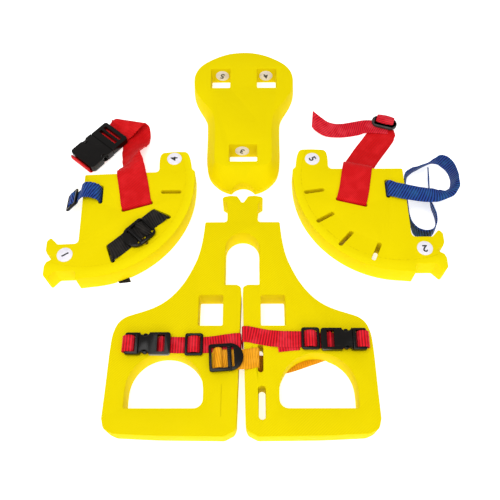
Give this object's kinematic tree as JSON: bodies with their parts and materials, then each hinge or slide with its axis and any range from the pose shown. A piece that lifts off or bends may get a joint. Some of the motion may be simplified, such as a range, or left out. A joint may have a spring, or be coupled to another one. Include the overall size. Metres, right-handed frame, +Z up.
{
  "type": "knock-down foam positioning seat",
  "caption": "Flat-packed foam positioning seat: forked seat panel, back panel and side wings with slots, barbed necks, webbing straps and buckles.",
  "frame": {"origin": "underside of the seat panel, at the middle of its barbed neck", "axes": "+Z up from the panels' undersides, +Y from the seat's legs towards the back panel, +X to the right seen from above"},
  "size_m": [0.6879, 0.716, 0.0525],
  "materials": {
    "foam": "satin closed-cell foam",
    "disc": "matte",
    "red_webbing": "woven",
    "orange_webbing": "woven",
    "blue_webbing": "woven",
    "black_webbing": "woven",
    "black_plastic": "semi-gloss",
    "grey_plastic": "semi-gloss"
  },
  "bodies": {
    "seat": {"seat_panel": "foam", "left_thigh_strap": "red_webbing", "left_socket": "black_plastic", "right_thigh_strap": "red_webbing", "right_strap_tail": "red_webbing", "right_socket": "black_plastic", "orange_strap": "orange_webbing"},
    "left_tongue": {"left_tongue": "black_plastic", "left_tongue_webbing": "red_webbing"},
    "right_tongue": {"right_tongue": "black_plastic", "right_tongue_webbing": "red_webbing"},
    "left_glide": {"left_glide": "black_plastic", "left_glide_webbing": "red_webbing"},
    "right_glide": {"right_glide": "black_plastic", "right_glide_webbing": "red_webbing"},
    "orange_lock": {"orange_lock": "black_plastic", "orange_lock_webbing": "orange_webbing"},
    "back": {"back_panel": "foam", "disc_back_left": "disc", "disc_back_right": "disc", "disc_back_neck": "disc"},
    "left_wing": {"left_wing": "foam", "disc_left_tab": "disc", "disc_left_hook": "disc", "left_belt": "red_webbing", "big_tongue": "black_plastic", "left_blue_strap": "blue_webbing", "left_black_strap": "black_webbing", "black_strap_tail": "black_webbing"},
    "big_socket": {"big_socket": "black_plastic", "big_socket_webbing": "red_webbing"},
    "blue_glide": {"blue_glide": "black_plastic", "blue_glide_webbing": "blue_webbing"},
    "black_lock": {"black_lock": "black_plastic", "black_lock_webbing": "black_webbing"},
    "right_wing": {"right_wing": "foam", "disc_right_tab": "disc", "disc_right_hook": "disc", "right_belt": "red_webbing", "right_belt_tail": "red_webbing", "right_blue_strap": "blue_webbing"},
    "grey_lock": {"grey_lock": "grey_plastic", "grey_lock_webbing": "red_webbing"}
  },
  "joints": [
    {"name": "left_buckle_release", "type": "slide", "parent": "seat", "child": "left_tongue", "axis": [-1, 0, 0], "range_m": [0, 0.03]},
    {"name": "right_buckle_release", "type": "slide", "parent": "seat", "child": "right_tongue", "axis": [1, 0, 0], "range_m": [0, 0.03]},
    {"name": "left_glide_slide", "type": "slide", "parent": "seat", "child": "left_glide", "axis": [1, 0, 0], "range_m": [-0.012, 0.006]},
    {"name": "right_glide_slide", "type": "slide", "parent": "seat", "child": "right_glide", "axis": [1, 0, 0], "range_m": [-0.03, 0]},
    {"name": "orange_lock_slide", "type": "slide", "parent": "seat", "child": "orange_lock", "axis": [0.9976, 0.0698, 0], "range_m": [-0.004, 0.008]},
    {"name": "back_lift", "type": "slide", "parent": "seat", "child": "back", "axis": [0, 0, 1], "range_m": [0, 0.25]},
    {"name": "left_wing_lift", "type": "slide", "parent": "seat", "child": "left_wing", "axis": [0, 0, 1], "range_m": [0, 0.25]},
    {"name": "right_wing_lift", "type": "slide", "parent": "seat", "child": "right_wing", "axis": [0, 0, 1], "range_m": [0, 0.25]},
    {"name": "big_buckle_release", "type": "slide", "parent": "left_wing", "child": "big_socket", "axis": [-0.6428, -0.766, 0], "range_m": [0, 0.04]},
    {"name": "blue_glide_slide", "type": "slide", "parent": "left_wing", "child": "blue_glide", "axis": [-0.71, -0.2355, -0.6636], "range_m": [-0.001, 0.002]},
    {"name": "black_lock_slide", "type": "slide", "parent": "left_wing", "child": "black_lock", "axis": [-0.6947, -0.7193, 0], "range_m": [-0.006, 0.006]},
    {"name": "grey_lock_slide", "type": "slide", "parent": "right_wing", "child": "grey_lock", "axis": [0.9563, -0.2924, 0], "range_m": [0, 0.015]}
  ]
}
